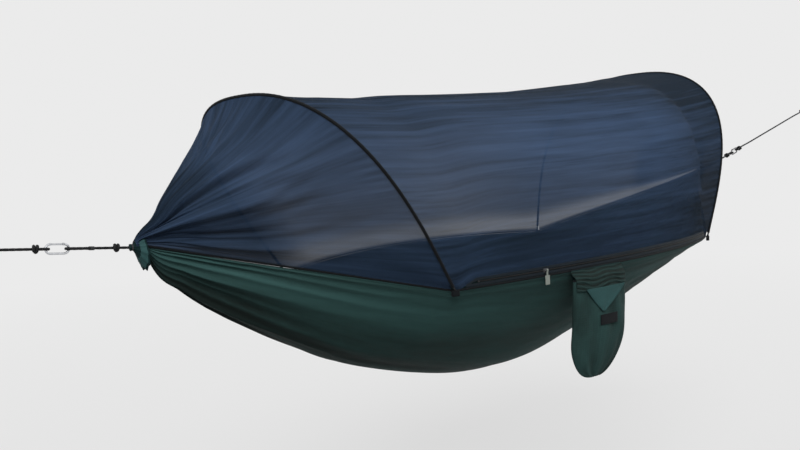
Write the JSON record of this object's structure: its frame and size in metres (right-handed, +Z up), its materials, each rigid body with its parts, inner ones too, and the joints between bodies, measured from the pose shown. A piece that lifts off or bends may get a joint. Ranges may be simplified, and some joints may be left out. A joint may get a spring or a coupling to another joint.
{
  "type": "hammock tent",
  "caption": "Hanging hammock of gathered cloth with a mosquito net over it, held up by arched poles, with a zipped side, a hanging pouch, carabiners and anchor ropes.",
  "frame": {"origin": "where the inside of the left anchor loop's bight bears on whatever it hangs from", "axes": "+X along the hammock from the left gather to the right one, -Y the side with the zip and the pouch, +Z up"},
  "size_m": [3.8151, 0.9822, 0.8732],
  "materials": {
    "hammock_cloth": "dark teal-green ripstop nylon with a soft sheen",
    "net_cloth": "fine slate-blue polyester mesh",
    "binding": "black woven tape",
    "cord": "black braided rope",
    "pole": "glass-fibre rod",
    "alloy": "polished silver",
    "plastic": "moulded black plastic",
    "pull_white": "pale grey moulded pull"
  },
  "bodies": {
    "hammock": {"anchor_knot_left": "cord", "anchor_knot_right": "cord", "anchor_loop_left": "cord", "anchor_loop_right": "cord", "carabiner_left": "alloy", "carabiner_right": "alloy", "foot_pocket_left_far": "binding", "foot_pocket_left_near": "binding", "foot_pocket_right_far": "binding", "foot_pocket_right_near": "binding", "gate_pin_left": "alloy", "gate_pin_right": "alloy", "gather_left": "hammock_cloth", "gather_right": "hammock_cloth", "hammock_body": "hammock_cloth", "hem_far": "binding", "hem_near": "binding", "net_end_left": "net_cloth", "net_end_right": "net_cloth", "net_mid_left": "net_cloth", "net_mid_right": "net_cloth", "rope_eye_left": "cord", "rope_eye_right": "cord", "rope_knot_left": "cord", "rope_knot_right": "cord", "rope_left": "cord", "rope_right": "cord", "strop_eye_left": "cord", "strop_eye_right": "cord", "strop_knot_left": "cord", "strop_knot_right": "cord", "strop_left": "cord", "strop_right": "cord", "zip_coil": "binding", "zip_stop_left": "plastic", "zip_stop_right": "plastic", "zip_tape_lower": "binding", "zip_tape_upper": "binding"},
    "hoop_left": {"hoop_pole_left": "pole", "hoop_sleeve_left": "binding", "pole_cap_left_near": "plastic", "pole_cap_left_far": "plastic"},
    "hoop_right": {"hoop_pole_right": "pole", "hoop_sleeve_right": "binding", "pole_cap_right_near": "plastic", "pole_cap_right_far": "plastic"},
    "gate_left": {"carabiner_gate_left": "alloy"},
    "gate_right": {"carabiner_gate_right": "alloy"},
    "slider": {"zip_slider": "alloy"},
    "pull": {"zip_pull": "pull_white"},
    "pouch": {"pouch_bag": "hammock_cloth", "pouch_yoke": "hammock_cloth", "pouch_rim": "binding", "pouch_flap": "hammock_cloth", "pouch_patch": "binding"}
  },
  "joints": [
    {"name": "hoop_left_sway", "type": "hinge", "parent": "hammock", "child": "hoop_left", "pos_m": [1.0177, 0, -0.20212], "axis": [0, 1, 0], "range_deg": [-8, 8], "stiffness_Nm_per_rad": 60, "deforming": ["net_end_left", "net_mid_left"]},
    {"name": "hoop_right_sway", "type": "hinge", "parent": "hammock", "child": "hoop_right", "pos_m": [2.17224, 0, -0.20212], "axis": [0, 1, 0], "range_deg": [-8, 8], "stiffness_Nm_per_rad": 60, "deforming": ["net_end_right", "net_mid_right"]},
    {"name": "gate_left_open", "type": "hinge", "parent": "hammock", "child": "gate_left", "pos_m": [0.2556, 0, -0.01641], "axis": [0, -1, 0], "range_deg": [0, 28], "stiffness_Nm_per_rad": 0.03, "springref_deg": -11.46},
    {"name": "gate_right_open", "type": "hinge", "parent": "hammock", "child": "gate_right", "pos_m": [3.03297, 0, 0.05479], "axis": [0, 1, 0], "range_deg": [0, 28], "stiffness_Nm_per_rad": 0.03, "springref_deg": -11.46},
    {"name": "zip_run", "type": "hinge", "parent": "hammock", "child": "slider", "pos_m": [1.59497, 0.80417, -0.33053], "axis": [0, 0.1112, 0.9938], "range_deg": [-7.5, 38.5]},
    {"name": "pull_swing", "type": "hinge", "parent": "slider", "child": "pull", "pos_m": [1.24764, -0.43718, -0.1787], "axis": [-0.9635, 0.2659, -0.0298], "range_deg": [-12, 120]},
    {"name": "pouch_swing", "type": "hinge", "parent": "hammock", "child": "pouch", "pos_m": [1.4066, -0.46578, -0.18865], "axis": [-0.9893, 0.1449, -0.0162], "range_deg": [-12, 70]}
  ]
}
